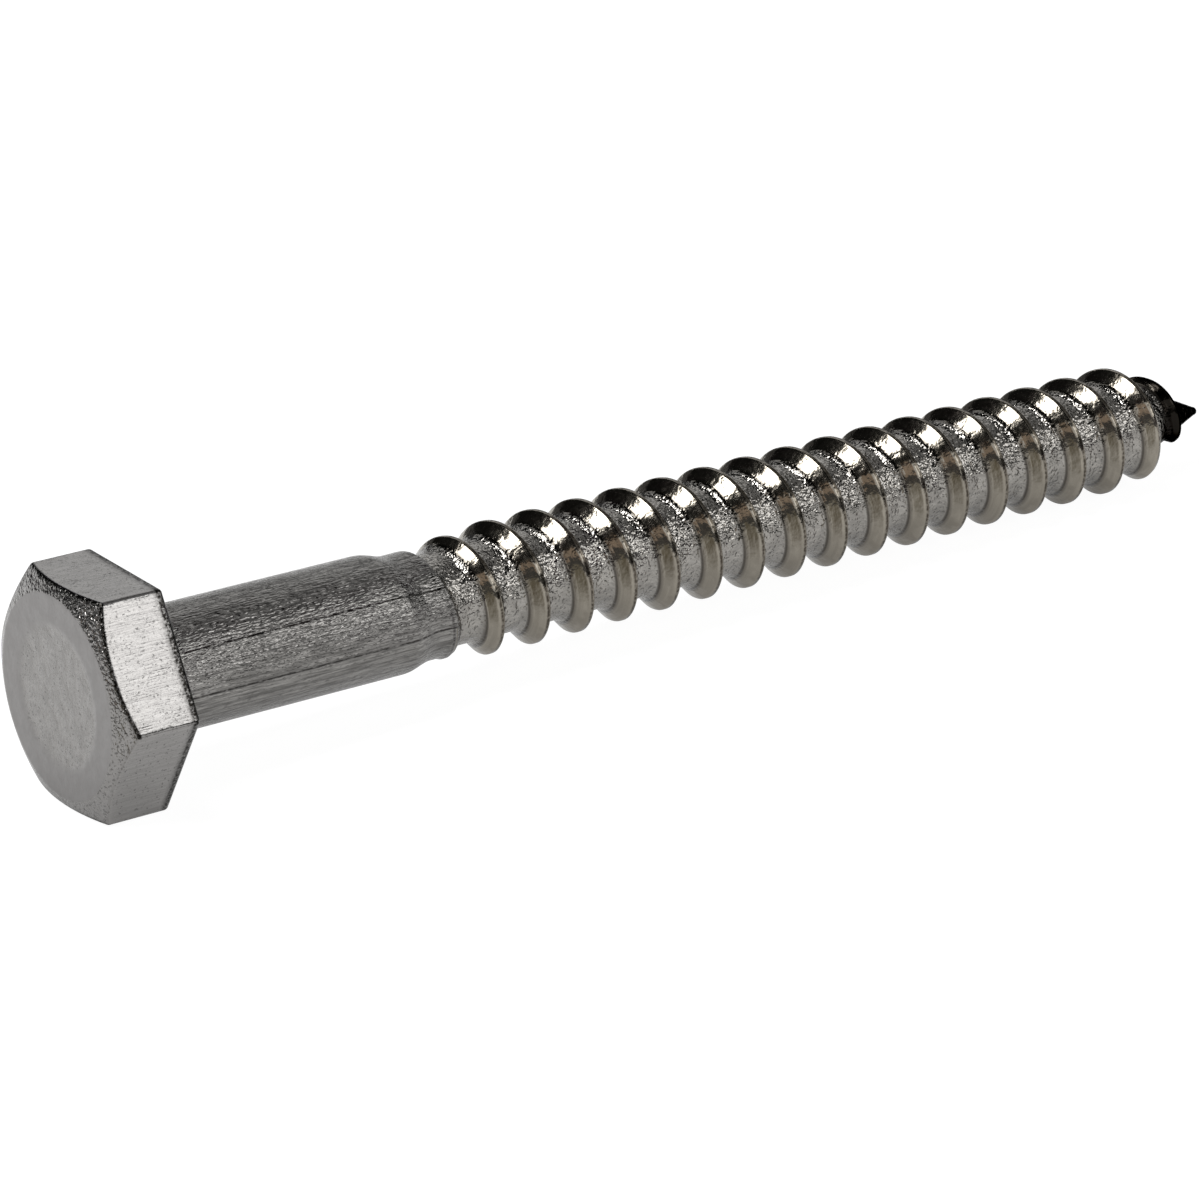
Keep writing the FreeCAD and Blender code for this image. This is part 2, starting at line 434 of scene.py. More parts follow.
    def chamfer_rings(self) -> list[Ring]:
        """The chamfer's ball from the face to the flats, and the worn edge between them.

        Returns:
            The rings, from the face outwards.
        """
        start = self.circle(self.sizes.face_radius + self.face_round, 0.0)
        edge = self.hexagon(self.chamfer_edge, None)
        rings = []
        for step in range(1, self.chamfer_steps):
            ring = [near.lerp(far, step / self.chamfer_steps) for near, far in zip(start, edge)]
            for point in ring:
                point.z = self.chamfer_at(point.xy.length)
            rings.append(Ring(Zone.CHAMFER, ring))
        corner = self.hexagon(0.0, None)
        below = [Vector((point.x, point.y, point.z + self.chamfer_edge)) for point in corner]
        for step in range(self.edge_steps + 1):
            t = step / self.edge_steps
            ring = [a * (1 - t) ** 2 + b * (2 * t * (1 - t)) + c * t ** 2
                    for a, b, c in zip(edge, corner, below)]
            # Painted dark reflection along the worn edge's round.
            painted_edge = self.edge_scale * math.sin(math.pi * (t * self.edge_span + self.edge_phase))
            rings.append(Ring(Zone.FLAT if step > 1 else Zone.CHAMFER, ring, edge=min(1.0, painted_edge)))
        return rings

    def flat_rings(self, top: list[Vector]) -> list[Ring]:
        """The six flats from the worn chamfer edge to the round at the underside.

        Args:
            top: the ring at the worn chamfer edge.

        Returns:
            The rings.
        """
        bottom = -self.sizes.edge_round
        rings = []
        for share in self.flat_shares:
            ring = [Vector((point.x, point.y, point.z + (bottom - point.z) * share)) for point in top]
            # Painted dark reflection near the round at the underside.
            painted_edge = (share - self.scale_start) / self.scale_rise
            rings.append(Ring(Zone.FLAT, ring, edge=max(0.0, min(1.0, painted_edge))))
        return rings

    def lower_rings(self) -> list[Ring]:
        """The round at the underside, the underside itself, the neck and the shank.

        Returns:
            The rings, from the flats to the thread.
        """
        s = self.sizes
        rings = []
        angles = [math.radians(90 * step / self.arc_steps) for step in range(1, self.arc_steps + 1)]
        # The round at the underside gets full painted dark reflection, and the neck painted shade.
        for angle in angles:
            inset = s.edge_round * (1 - math.cos(angle))
            zone = Zone.UNDERSIDE if angle == angles[-1] else Zone.FLAT
            rings.append(Ring(zone, self.hexagon(inset, s.edge_round * (math.sin(angle) - 1)), edge=1.0))
        outer = self.hexagon(s.edge_round, 0.0)
        neck = self.circle(s.shank_radius + self.neck_radius, 0.0)
        for share in self.under_shares:
            rings.append(Ring(Zone.UNDERSIDE, [a.lerp(b, share) for a, b in zip(outer, neck)]))
        for angle in angles:
            radius = s.shank_radius + self.neck_radius * (1 - math.sin(angle))
            ring = self.circle(radius, self.neck_radius * (1 - math.cos(angle)))
            zone = Zone.SHANK if angle == angles[-1] else Zone.UNDERSIDE
            rings.append(Ring(zone, ring, edge=self.neck_scale))
        count = round((self.end - self.neck_radius) / self.ring_gap)
        for step in range(1, count + 1):
            share = step / count
            place = self.neck_radius + (self.end - self.neck_radius) * share
            rings.append(Ring(Zone.SHANK, self.circle(s.shank_radius, place, share)))
        return rings

    def scale_at(self, ring: Ring, index: int) -> float:
        """How much painted dark reflection a point gets: more along the corners, little on one side's chamfer
        edge.

        Args:
            ring: the point's ring.
            index: which of the ring's points it is.

        Returns:
            The painted dark, from 0 to 1.
        """
        side, step = divmod(index, self.flat_points + self.corner_points)
        if ring.zone == Zone.FLAT and step == self.flat_points + self.corner_points // 2:
            return max(ring.edge, self.corner_scale)
        upper = ring.points[index].z < -self.sizes.head_height / 2
        if side == self.clean_side and upper and step < self.flat_points:
            return ring.edge * self.clean_share
        return ring.edge

    def add_to(self, mesh: bmesh.types.BMesh) -> None:
        """Build the head and the shank in a mesh.

        Args:
            mesh: the mesh that gets them.
        """
        rings = self.face_rings() + self.chamfer_rings()
        rings += self.flat_rings(rings[-1].points)
        rings += self.lower_rings()
        relief, edge = (mesh.verts.layers.float[mark.value] for mark in Mark)
        pole = mesh.verts.new((0.0, 0.0, rings[0].points[0].z))
        stack = [[mesh.verts.new(point) for point in ring.points] for ring in rings]
        for ring, verts in zip(rings, stack):
            for index, vert in enumerate(verts):
                vert[relief] = ring.relief
                vert[edge] = self.scale_at(ring, index)
        for index, vert in enumerate(stack[0]):
            mesh.faces.new((pole, stack[0][(index + 1) % self.points], vert))
        for ring, low, high in zip(rings, stack, stack[1:]):
            join_rings(mesh, low, high, ring.zone)
        LOG.info("blank: %d rings of %d points", len(stack), self.points)


@dataclass
class Nose:
    """The end of the cone and the small ball that blunts it."""

    sizes: ScrewSizes
    start: float
    points: int
    ball_steps: int = 5

    def add_to(self, mesh: bmesh.types.BMesh) -> None:
        """Build the nose in a mesh.

        Args:
            mesh: the mesh that gets it.
        """
        s = self.sizes
        profile = [(self.start, s.cone_radius(self.start)), (s.nose_start, s.nose_radius)]
        for step in range(1, self.ball_steps):
            angle = math.radians(90 * step / self.ball_steps)
            profile.append((s.nose_start + s.nose_radius * math.sin(angle), s.nose_radius * math.cos(angle)))
        turns = [math.tau * index / self.points for index in range(self.points)]
        stack = []
        for place, radius in profile:
            stack.append([mesh.verts.new((radius * math.cos(turn), radius * math.sin(turn), place))
                          for turn in turns])
        for low, high in zip(stack, stack[1:]):
            join_rings(mesh, low, high, Zone.THREAD)
        pole = mesh.verts.new((0.0, 0.0, s.screw_length))
        last = stack[-1]
        for index, vert in enumerate(last):
            after = last[(index + 1) % self.points]
            mesh.faces.new((vert, after, pole)).material_index = Zone.THREAD.value


@dataclass
class RolledThread:
    """The waist, the rolled ridge and the cone, as one grid that Geometry Nodes wind round the axis.

    Along the grid's X the ridge runs round the screw, and along its Y it goes across one pitch, with
    the crest in the middle. The grid's rows crowd at the crest. The blank ends in a waist that the
    dies have pushed askew.
    """

    sizes: ScrewSizes
    points_per_turn: int
    start: float
    stop: float = 100.4
    rows: int = 24
    row_pull: float = 0.6
    root_fillet: float = 0.45
    crest_round: float = 0.12
    taper_start: float = 21.4
    taper_end: float = 23.1
    waist_radius: float = 4.2
    waist_round: float = 0.2
    shoulder_start: float = 25.2
    skew: float = 0.9
    skew_angle: float = 21.0
    blend_round: float = 0.4
    rise_start: float = 21.0
    rise_end: float = 30.4
    fade_start: float = 94.6
    fade_end: float = 98.8
    lift_band: Band = (0.03, 0.14)
    relief_band: Band = (0.25, 0.47)
    seam_band: Band = (0.06, 0.2)
    raised_band: Band = (-0.25, 0.05)
    first_reach: float = 0.6

    def inputs(self) -> dict[str, float]:
        """The tree's named inputs, in millimetres, turns and radians.

        Returns:
            The value of each input, by its name.
        """
        s = self.sizes
        before = math.ceil((s.first_crest - self.start) / s.thread_pitch + 0.5)
        after = math.ceil((self.stop - s.first_crest) / s.thread_pitch + 0.5)
        shared = ("core_radius", "cone_start", "cone_slope", "first_crest", "shank_radius")
        lengths = {name: getattr(s, name) for name in shared}
        lengths |= {name: value for name, value in vars(self).items() if isinstance(value, float)}
        return {name.replace("_", " ").capitalize(): value for name, value in lengths.items()} | {
            "Turns": float(before + after),
            "Grid start": s.first_crest - before * s.thread_pitch,
            "Pitch": s.thread_pitch,
            "Ridge height": s.thread_radius - s.core_radius,
            "Half crest": s.crest_width / 2,
            "Head run": math.tan(math.radians(s.head_flank)),
            "Tip run": math.tan(math.radians(s.tip_flank)),
            "Toe": s.ridge_toe,
            "Shoulder slope": math.tan(math.radians(s.shoulder_slope)),
            "Skew angle": math.radians(self.skew_angle),
        }

    def make_tree(self, finishes: Mapping[Zone, Material]) -> NodeTree:
        """Build the tree that winds the grid.

        Args:
            finishes: the material of each zone.

        Returns:
            The tree.
        """
        tree = bpy.data.node_groups.new("wound_thread", "GeometryNodeTree")
        add = partial(add_node, tree)
        tree.interface.new_socket("Geometry", in_out="OUTPUT", socket_type="NodeSocketGeometry")
        values = self.inputs()
        for name in values:
            tree.interface.new_socket(name, in_out="INPUT", socket_type="NodeSocketFloat")
        size = add("NodeGroupInput").outputs
        grid = add("GeometryNodeMeshGrid", {
            "Size X": 1.0, "Size Y": 1.0, "Vertices Y": self.rows + 1,
            "Vertices X": round(values["Turns"] * self.points_per_turn) + 1})
        here = add("GeometryNodeInputPosition")
        along, across = add("ShaderNodeSeparateXYZ", [here]).outputs[:2]
        share = add("ADD", [along, 0.5])
        turn = add("MULTIPLY", [share, size["Turns"]])
        crest = add("MULTIPLY_ADD", [turn, size["Pitch"], size["Grid start"]])

        # Across one pitch, with the rows drawn in towards the crest.
        wave = add("MULTIPLY", [across, math.tau])
        wave = add("SINE", [wave])
        pull = add("MULTIPLY", [size["Row pull"], -1 / math.tau])
        drawn = add("MULTIPLY_ADD", [wave, pull, across])
        free = add("MULTIPLY_ADD", [drawn, size["Pitch"], crest])
        place = add("ShaderNodeClamp", [free, size["Start"], size["Stop"]])

        # The core and its cone.
        past = add("SUBTRACT", [place, size["Cone start"]])
        past = add("MAXIMUM", [past, 0.0])
        fall = add("MULTIPLY", [past, size["Cone slope"]])
        core = add("SUBTRACT", [size["Core radius"], fall])

        # The share of its full height that the ridge has here.
        risen, fading = (add(RAMP, [crest, size[f"{name} start"], size[f"{name} end"], 0.0, 1.0])
                         for name in ("Rise", "Fade"))
        fading = add("POWER", [fading, 2.0])
        left = add("SUBTRACT", [1.0, fading])
        grown = add("MULTIPLY", [risen, left])
        height = add("MULTIPLY", [grown, size["Ridge height"]])
        ungrown = add("SUBTRACT", [1.0, grown])
        toe = add("MULTIPLY", [ungrown, size["Toe"]])

        # The two flanks as shares of the height, 1 at the crest's edge, and the flat crest between them.
        offset = add("SUBTRACT", [place, crest])
        flanks = []
        for sign, run in ((1.0, "Head run"), (-1.0, "Tip run")):
            span = add("MULTIPLY_ADD", [height, size[run], toe])
            beyond = add("MULTIPLY_ADD", [offset, sign, size["Half crest"]])
            ratio = add("DIVIDE", [beyond, span])
            flanks.append(add("ADD", [ratio, 1.0]))
        flank = add("MINIMUM", flanks)
        ramp = add("MULTIPLY", [flank, height])
        crest_soft, root_soft = (add("MULTIPLY", [grown, size[name]])
                                 for name in ("Crest round", "Root fillet"))
        capped = add("SMOOTH_MIN", [ramp, height, crest_soft])
        ridge = add("SMOOTH_MAX", [capped, 0.0, root_soft])
        wound = add("ADD", [core, ridge])

        # The shank's end, the waist and its shoulder, all shifted along the axis by the skew.
        facing = add("MULTIPLY_ADD", [turn, math.tau, size["Skew angle"]])
        facing = add("COSINE", [facing])
        skewed = add("MULTIPLY_ADD", [facing, size["Skew"], place])
        taper = add(RAMP, [skewed, size["Taper start"], size["Taper end"], size["Shank radius"],
                           size["Waist radius"]], clamp=False)
        soft = size["Waist round"]
        blank = add("SMOOTH_MIN", [taper, size["Shank radius"], soft])
        blank = add("SMOOTH_MAX", [blank, size["Waist radius"], soft])
        beyond = add("SUBTRACT", [skewed, size["Shoulder start"]])
        drop = add("MULTIPLY", [beyond, size["Shoulder slope"]])
        shoulder = add("SUBTRACT", [size["Waist radius"], drop])
        blank = add("SMOOTH_MIN", [blank, shoulder, soft])
        radius = add("SMOOTH_MAX", [wound, blank, size["Blend round"]])

        # What the finish needs to know: off the root, the painted dark reflection on the crest, and whether
        # the rolls touched it.
        lift = add(RAMP, [ridge, *self.lift_band, 0.0, 1.0])
        relief = add(RAMP, [ridge, *self.relief_band, 0.0, 1.0])
        off_crest = add("ABSOLUTE", [offset])
        seam = add(RAMP, [off_crest, *self.seam_band, 1.0, 0.0])
        over = add("SUBTRACT", [wound, blank])
        raised = add(RAMP, [over, *self.raised_band, 0.0, 1.0])
        # Painted dark reflection along the crest, only where the ridge stands out of the blank.
        painted_crest_dark = add("MULTIPLY", [lift, raised])
        painted_crest_dark = add("MULTIPLY", [seam, painted_crest_dark])
        touched = add("COMPARE", [crest, size["First crest"], size["First reach"]])
        for distance, limit in ((crest, "First crest"), (offset, "Half crest")):
            beyond = add("GREATER_THAN", [distance, size[limit]])
            touched = add("MAXIMUM", [touched, beyond])
        rolled = add("MULTIPLY", [raised, touched])
        kept = grid
        for name, value in ((Mark.RELIEF.value, relief), (Mark.EDGE.value, painted_crest_dark), ("rolled", rolled)):
            kept = add("GeometryNodeStoreNamedAttribute", {"Geometry": kept, "Name": name, "Value": value})

        angle = add("MULTIPLY_ADD", [turn, math.tau, math.pi])
        point = add("ShaderNodeCombineXYZ", [*on_circle(tree, angle, radius), place])
        moved = add("GeometryNodeSetPosition", {"Geometry": kept, "Position": point})
        merged = add("GeometryNodeMergeByDistance", {"Geometry": moved, "Distance": MERGE_GAP})
        smooth = add("GeometryNodeSetShadeSmooth", {"Geometry": merged, "Shade Smooth": True})
        mark = add("GeometryNodeInputNamedAttribute", {"Name": "rolled"})
        bare = add("FunctionNodeCompare", {"A": mark, "B": 0.5}, operation="LESS_THAN")
        dressed = add("GeometryNodeRealizeInstances", [smooth])
        for zone, chosen in ((Zone.THREAD, None), (Zone.SHANK, bare)):
            dressed = add("GeometryNodeSetMaterial", {
                "Geometry": dressed, "Selection": chosen, "Material": finishes[zone]})
        add("NodeGroupOutput", [dressed])
        return tree

    def make_mesh(self, finishes: Mapping[Zone, Material]) -> Mesh:
        """Wind the grid and read the result.

        Args:
            finishes: the material of each zone.

        Returns:
            A plain mesh in millimetres.
        """
        tree = self.make_tree(finishes)
        holder = add_object("thread_holder", bpy.data.meshes.new("thread_holder"))
        winding = holder.modifiers.new("winding", "NODES")
        winding.node_group = tree
        values = self.inputs()
        for item in tree.interface.items_tree:
            if item.name in values:
                winding[item.identifier] = values[item.name]
        bpy.context.view_layer.update()
        mesh = bpy.data.meshes.new_from_object(holder.evaluated_get(bpy.context.evaluated_depsgraph_get()))
        holder.modifiers.remove(winding)
        bpy.data.objects.remove(holder)
        LOG.info("thread: %d faces", len(mesh.polygons))
        return mesh


@dataclass(frozen=True)
class SteelFinish:
    """How one zone of the stainless steel was left by its making, with lengths in millimetres.

    The same few marks lie on all of it, and each zone has its own share of them: a fine grain, soft
    dents, lines along the axis or along the thread, dark specks, and painted dark reflection along the edges.
    """

    colour: str
    shade: str
    roughness: float
    roughness_spread: float = 0.15
    grain_depth: float = 0.02
    dent_depth: float = 0.1
    line_depth: float = 0.0
    line_shade: float = 0.0
    speck_shade: float = 0.0
    stain_shade: float = 0.0
    # painted dark reflection along edges and crests
    edge_shade: float = 0.7


@dataclass(frozen=True)
class SteelSurface:
    """A zone's material: one finish, or two that meet where the relief mark says.

    The patterns' sizes are in mm, and so is the band of painted dark reflection at the point, which lies
    along the cone.
    """

    name: str
    finish: SteelFinish
    sunk: SteelFinish | None = None
    grain_size: float = 0.25
    dent_size: float = 2.5
    line_width: float = 0.2
    line_length: float = 15.0
    streak_band: Band = (0.35, 0.65)
    stain_band: Band = (0.42, 0.6)
    scratch_width: float = 0.16
    scratch_core: float = 0.3
    scratches: tuple[tuple[float, float], ...] = ()
    speck_size: float = 0.3
    speck_stretch: float = 1.0
    speck_limit: float = 0.6
    speck_fade: float = 0.08
    gap_band: Band = (0.3, 0.55)
    gap_share: float = 0.4
    # Painted shade in the crease where the sunk finish meets the raised one.
    corner_shade: float = 0.0
    # The point is darkened along the cone: painted dark reflection, not a mark of the steel.
    point_shade: float = 0.0
    point_band: Band = (1.9, 3.0)
    point_colours: tuple[str, str] = ("100D0B", "303030")
    along_thread: bool = False

    def make(self, sizes: ScrewSizes) -> Material:
        """Build the material.

        Args:
            sizes: the screw's sizes, for its tilt and the thread's pitch.

        Returns:
            The material.
        """
        material = bpy.data.materials.new(self.name)
        tree = empty_tree(material)
        add = partial(add_node, tree)
        relief, edge = (add("ShaderNodeAttribute", attribute_name=mark.value).outputs["Fac"] for mark in Mark)

        def share(name: str) -> NodeSocket | float:
            """One value of the finish, or of both finishes by the relief mark.

            Args:
                name: the value's name.

            Returns:
                The value, or the socket that gives it.
            """
            value = getattr(self.finish, name)
            sunk = getattr(self.sunk or self.finish, name)
            if sunk == value:
                return value
            return add(RAMP, [relief, 0.0, 1.0, sunk, value]).outputs[0]

        level = add("ShaderNodeMapping", {
            "Vector": add("ShaderNodeTexCoord").outputs["Object"],
            "Rotation": (0.0, -sizes.tilt, 0.0), "Scale": (MM_PER_METRE,) * 3})
        if self.along_thread:
            lines = self.thread_lines(tree, level, sizes)
        else:
            lines = add("ShaderNodeMapping", {
                "Vector": level, "Scale": (1 / self.line_length, 1 / self.line_width, 1 / self.line_width)})
        dashes = add("ShaderNodeMapping", {
            "Vector": level, "Scale": (1 / self.speck_stretch, 1.0, 1.0)})
        grain, dents, drawn, specks = (
            add("ShaderNodeTexNoise", {"Vector": where, "Scale": 1 / size, "Detail": detail})
            for where, size, detail in ((dashes, self.grain_size, 1.0), (level, self.dent_size, 1.0),
                                        (lines, 1.0, 3.0), (dashes, self.speck_size, 2.0)))
        height = 0.0
        for pattern, name in ((grain, "grain_depth"), (dents, "dent_depth"), (drawn, "line_depth")):
            height = add("MULTIPLY_ADD", [pattern, share(name), height])

        # Each mark darkens the steel by its own share, and where marks meet the darkest one counts.
        darker = add(RAMP, [
            specks, self.speck_limit, self.speck_limit + self.speck_fade, 0.0, share("speck_shade")],
            interpolation_type="SMOOTHSTEP")
        marks = [add(RAMP, [pattern, *band, 0.0, share(name)]) for pattern, band, name in (
            (drawn, self.streak_band, "line_shade"), (dents, self.stain_band, "stain_shade"))]
        broken = add(RAMP, [specks, *self.gap_band, self.gap_share, 1.0])
        # Painted dark reflection along edges and crests, broken up by the specks.
        painted_edge = add("MULTIPLY", [edge, broken])
        marks.append(add("MULTIPLY", [painted_edge, share("edge_shade")]))
        # Painted shade in the crease between root and flank, darkest halfway: relief × (1 - relief) peaks at
        # a quarter.
        above = add("SUBTRACT", [1.0, relief])
        corner = add("MULTIPLY", [relief, above])
        marks.append(add("MULTIPLY", [corner, 4 * self.corner_shade]))
        parts = add("ShaderNodeSeparateXYZ", [level]).outputs
        nearer = add("MULTIPLY", [parts[1], -1.0])
        angle = add("ARCTAN2", [nearer, parts[2]])
        width = self.scratch_width / sizes.shank_radius
        for place, shade in self.scratches:
            off = add("SUBTRACT", [angle, math.radians(place)])
            off = add("ABSOLUTE", [off])
            line = add(RAMP, [off, self.scratch_core * width, width, shade, 0.0])
            marks.append(add("MULTIPLY", [line, broken]))
        for mark in marks:
            darker = add("MAXIMUM", [darker, mark])
        # Painted dark reflection at the point: colour and rim tint turn near black along the cone.
        painted_point_dark = add(RAMP, [
            parts[0], *(sizes.cone_start + past for past in self.point_band), 0.0, self.point_shade])

        tones = []
        for name in ("colour", "shade"):
            tone = linear(getattr(self.finish, name))
            if self.sunk:
                sunk_tone = linear(getattr(self.sunk, name))
                tone = add(MIX, {0: relief, 6: sunk_tone, 7: tone}, data_type="RGBA").outputs[2]
            tones.append(tone)
        colour = add(MIX, {0: darker, 6: tones[0], 7: tones[1]}, data_type="RGBA").outputs[2]
        # The point's painted dark reflection goes into its colour and its rim tint.
        colour, rim_with_painted_point = (
            add(MIX, {0: painted_point_dark, 6: plain, 7: linear(dark)}, data_type="RGBA").outputs[2]
            for plain, dark in zip((colour, linear("FFFFFF")), self.point_colours))
        centred = add("SUBTRACT", [grain, 0.5])
        rough = add("MULTIPLY_ADD", [centred, share("roughness_spread"), share("roughness")])
        bump = add("ShaderNodeBump", {"Distance": METRES_PER_MM, "Height": height})
        steel = add("ShaderNodeBsdfPrincipled", {
            "Metallic": 1.0, "Base Color": colour, "Specular Tint": rim_with_painted_point, "Roughness": rough, "Normal": bump})
        add("ShaderNodeOutputMaterial", [steel])
        return material

    def thread_lines(self, tree: NodeTree, level: Node, sizes: ScrewSizes) -> Node:
        """Coordinates for lines that follow the thread, with no seam between its turns.

        Args:
            tree: the material's tree.
            level: the node that gives the place in millimetres, with X along the axis.
            sizes: the screw's sizes, for the thread's pitch.

        Returns:
            The node that gives the coordinates.
        """
        add = partial(add_node, tree)
        parts = add("ShaderNodeSeparateXYZ", [level]).outputs
        up = add("MULTIPLY", [parts[2], -1.0])
        angle = add("ARCTAN2", [parts[1], up])
        step = add("MULTIPLY", [parts[0], math.tau / sizes.thread_pitch])
        phase = add("SUBTRACT", [step, angle])
        ring = sizes.thread_pitch / self.line_width / math.tau
        per_turn = math.tau * sizes.thread_radius / self.line_length / sizes.thread_pitch
        along = add("MULTIPLY", [parts[0], per_turn])
        return add("ShaderNodeCombineXYZ", [*on_circle(tree, phase, ring), along])


# Austenitic stainless steel as the header, the trimming die and the thread rolls left it, with painted dark
# reflection along its edges and crests, painted shade in the thread's crease and painted dark reflection at
# the point.
SURFACES: dict[Zone, SteelSurface] = {
    # Pressed flat by the punch: a smooth even ring round a disc that is finely pitted and paler.
    Zone.FACE: SteelSurface(
        "cold_headed_steel",
        SteelFinish("908E8D", "55534F", 0.34, grain_depth=0.012, dent_depth=0.07, speck_shade=0.12,
                    stain_shade=0.08, edge_shade=0.5),
        SteelFinish("9B9997", "4A4845", 0.27, grain_depth=0.07, dent_depth=0.18, speck_shade=0.5,
                    stain_shade=0.15),
        grain_size=0.28, dent_size=1.2, speck_size=0.22, speck_limit=0.6),
    # Squeezed out under the punch: coarse, torn and dark.
    Zone.CHAMFER: SteelSurface(
        "torn_chamfer_steel",
        SteelFinish("93918F", "1E1C1A", 0.2, grain_depth=0.11, dent_depth=0.15, speck_shade=0.5,
                    edge_shade=1.0),
        grain_size=0.26, dent_size=0.9, speck_size=0.2, speck_limit=0.55),
    # Cut by the trimming die: bright, with fine lines along the axis.
    Zone.FLAT: SteelSurface(
        "die_trimmed_steel",
        SteelFinish("9C9A98", "1E1C1A", 0.18, grain_depth=0.014, dent_depth=0.06, line_depth=0.015,
                    line_shade=0.2, speck_shade=0.6, edge_shade=1.0),
        grain_size=0.2, dent_size=1.5, line_width=0.12, line_length=2.5, speck_size=0.2, speck_limit=0.61),
    # Faces away: dull, from the die.
    Zone.UNDERSIDE: SteelSurface(
        "headed_underside_steel", SteelFinish("8B8986", "2A2825", 0.42, grain_depth=0.05)),
    # Drawn to size: speckled, with lines and thin dark scratches along the axis.
    Zone.SHANK: SteelSurface(
        "drawn_steel",
        SteelFinish("989693", "141210", 0.15, grain_depth=0.1, dent_depth=0.06, line_depth=0.05,
                    line_shade=0.62, speck_shade=0.5, edge_shade=0.9),
        grain_size=0.18, dent_size=1.2, line_width=0.14, line_length=2.6, speck_size=0.17,
        speck_stretch=3.0, speck_limit=0.56,
        scratches=((54.5, 1.0), (97, 0.9), (78, 0.5), (112, 0.6), (40, 0.5), (165, 0.7), (-130, 0.8),
                   (-75, 0.6))),
    # Rolled between dies: shiny flanks with a warm tint over a paler dimpled root, with painted shade in the
    # crease between them and painted dark reflection at the point.
    Zone.THREAD: SteelSurface(
        "rolled_thread_steel",
        SteelFinish("9D978C", "2B241A", 0.15, grain_depth=0.018, dent_depth=0.06, line_depth=0.012,
                    line_shade=0.2, stain_shade=0.2, edge_shade=0.9),
        SteelFinish("A09D98", "1A1714", 0.13, grain_depth=0.15, dent_depth=0.2, speck_shade=0.55,
                    stain_shade=0.2),
        grain_size=0.3, dent_size=1.3, line_width=0.3, line_length=8.0, speck_size=0.25, speck_limit=0.58,
        corner_shade=0.8, point_shade=0.97, along_thread=True),
}


@dataclass
class CoachScrew:
    """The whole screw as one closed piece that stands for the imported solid."""

    sizes: ScrewSizes = field(default_factory=ScrewSizes)
    node: str = "coach_screw"
    piece_name: str = "finished_screw"
    droop_start: float = 94.0
    point_droop: float = 0.3

    def build(self) -> Object:
        """Make the mesh, dress it and hand it to the frame.

        Returns:
            The finished piece.
        """
        finishes = {zone: SURFACES[zone].make(self.sizes) for zone in Zone}
        blank = Blank(self.sizes)
        thread = RolledThread(self.sizes, blank.points, blank.end)
        wound = thread.make_mesh(finishes)
        names = [material.name if material else "" for material in wound.materials]
        zone_of = {names.index(finishes[zone].name): zone.value for zone in (Zone.THREAD, Zone.SHANK)}
        body = bmesh.new()
        body.from_mesh(wound)
        for face in body.faces:
            face.material_index = zone_of[face.material_index]
        blank.add_to(body)
        Nose(self.sizes, thread.stop, blank.points).add_to(body)
        bmesh.ops.remove_doubles(body, verts=body.verts, dist=MERGE_GAP)
        open_edges = sum(1 for edge in body.edges if not edge.is_manifold)
        if open_edges:
            raise RuntimeError(f"the screw has {open_edges} open edges")
        bmesh.ops.recalc_face_normals(body, faces=body.faces)
        if body.calc_volume(signed=True) < 0:
            bmesh.ops.reverse_faces(body, faces=body.faces)
        for face in body.faces:
            face.smooth = True
        for vert in body.verts:
            past = max(0.0, vert.co.z - self.droop_start) / (self.sizes.screw_length - self.droop_start)
            vert.co.x += self.point_droop * past ** 2
        body.transform(self.sizes.lying())

        mesh = bpy.data.meshes.new(self.piece_name)
        for zone in Zone:
            mesh.materials.append(finishes[zone])
        body.to_mesh(mesh)
        body.free()
        piece = add_object(self.piece_name, mesh)
        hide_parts(self.node)
        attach(piece, "root")
        triangles = sum(len(face.vertices) - 2 for face in mesh.polygons)
        LOG.info("%s: closed, %d triangles", piece.name, triangles)
        return piece


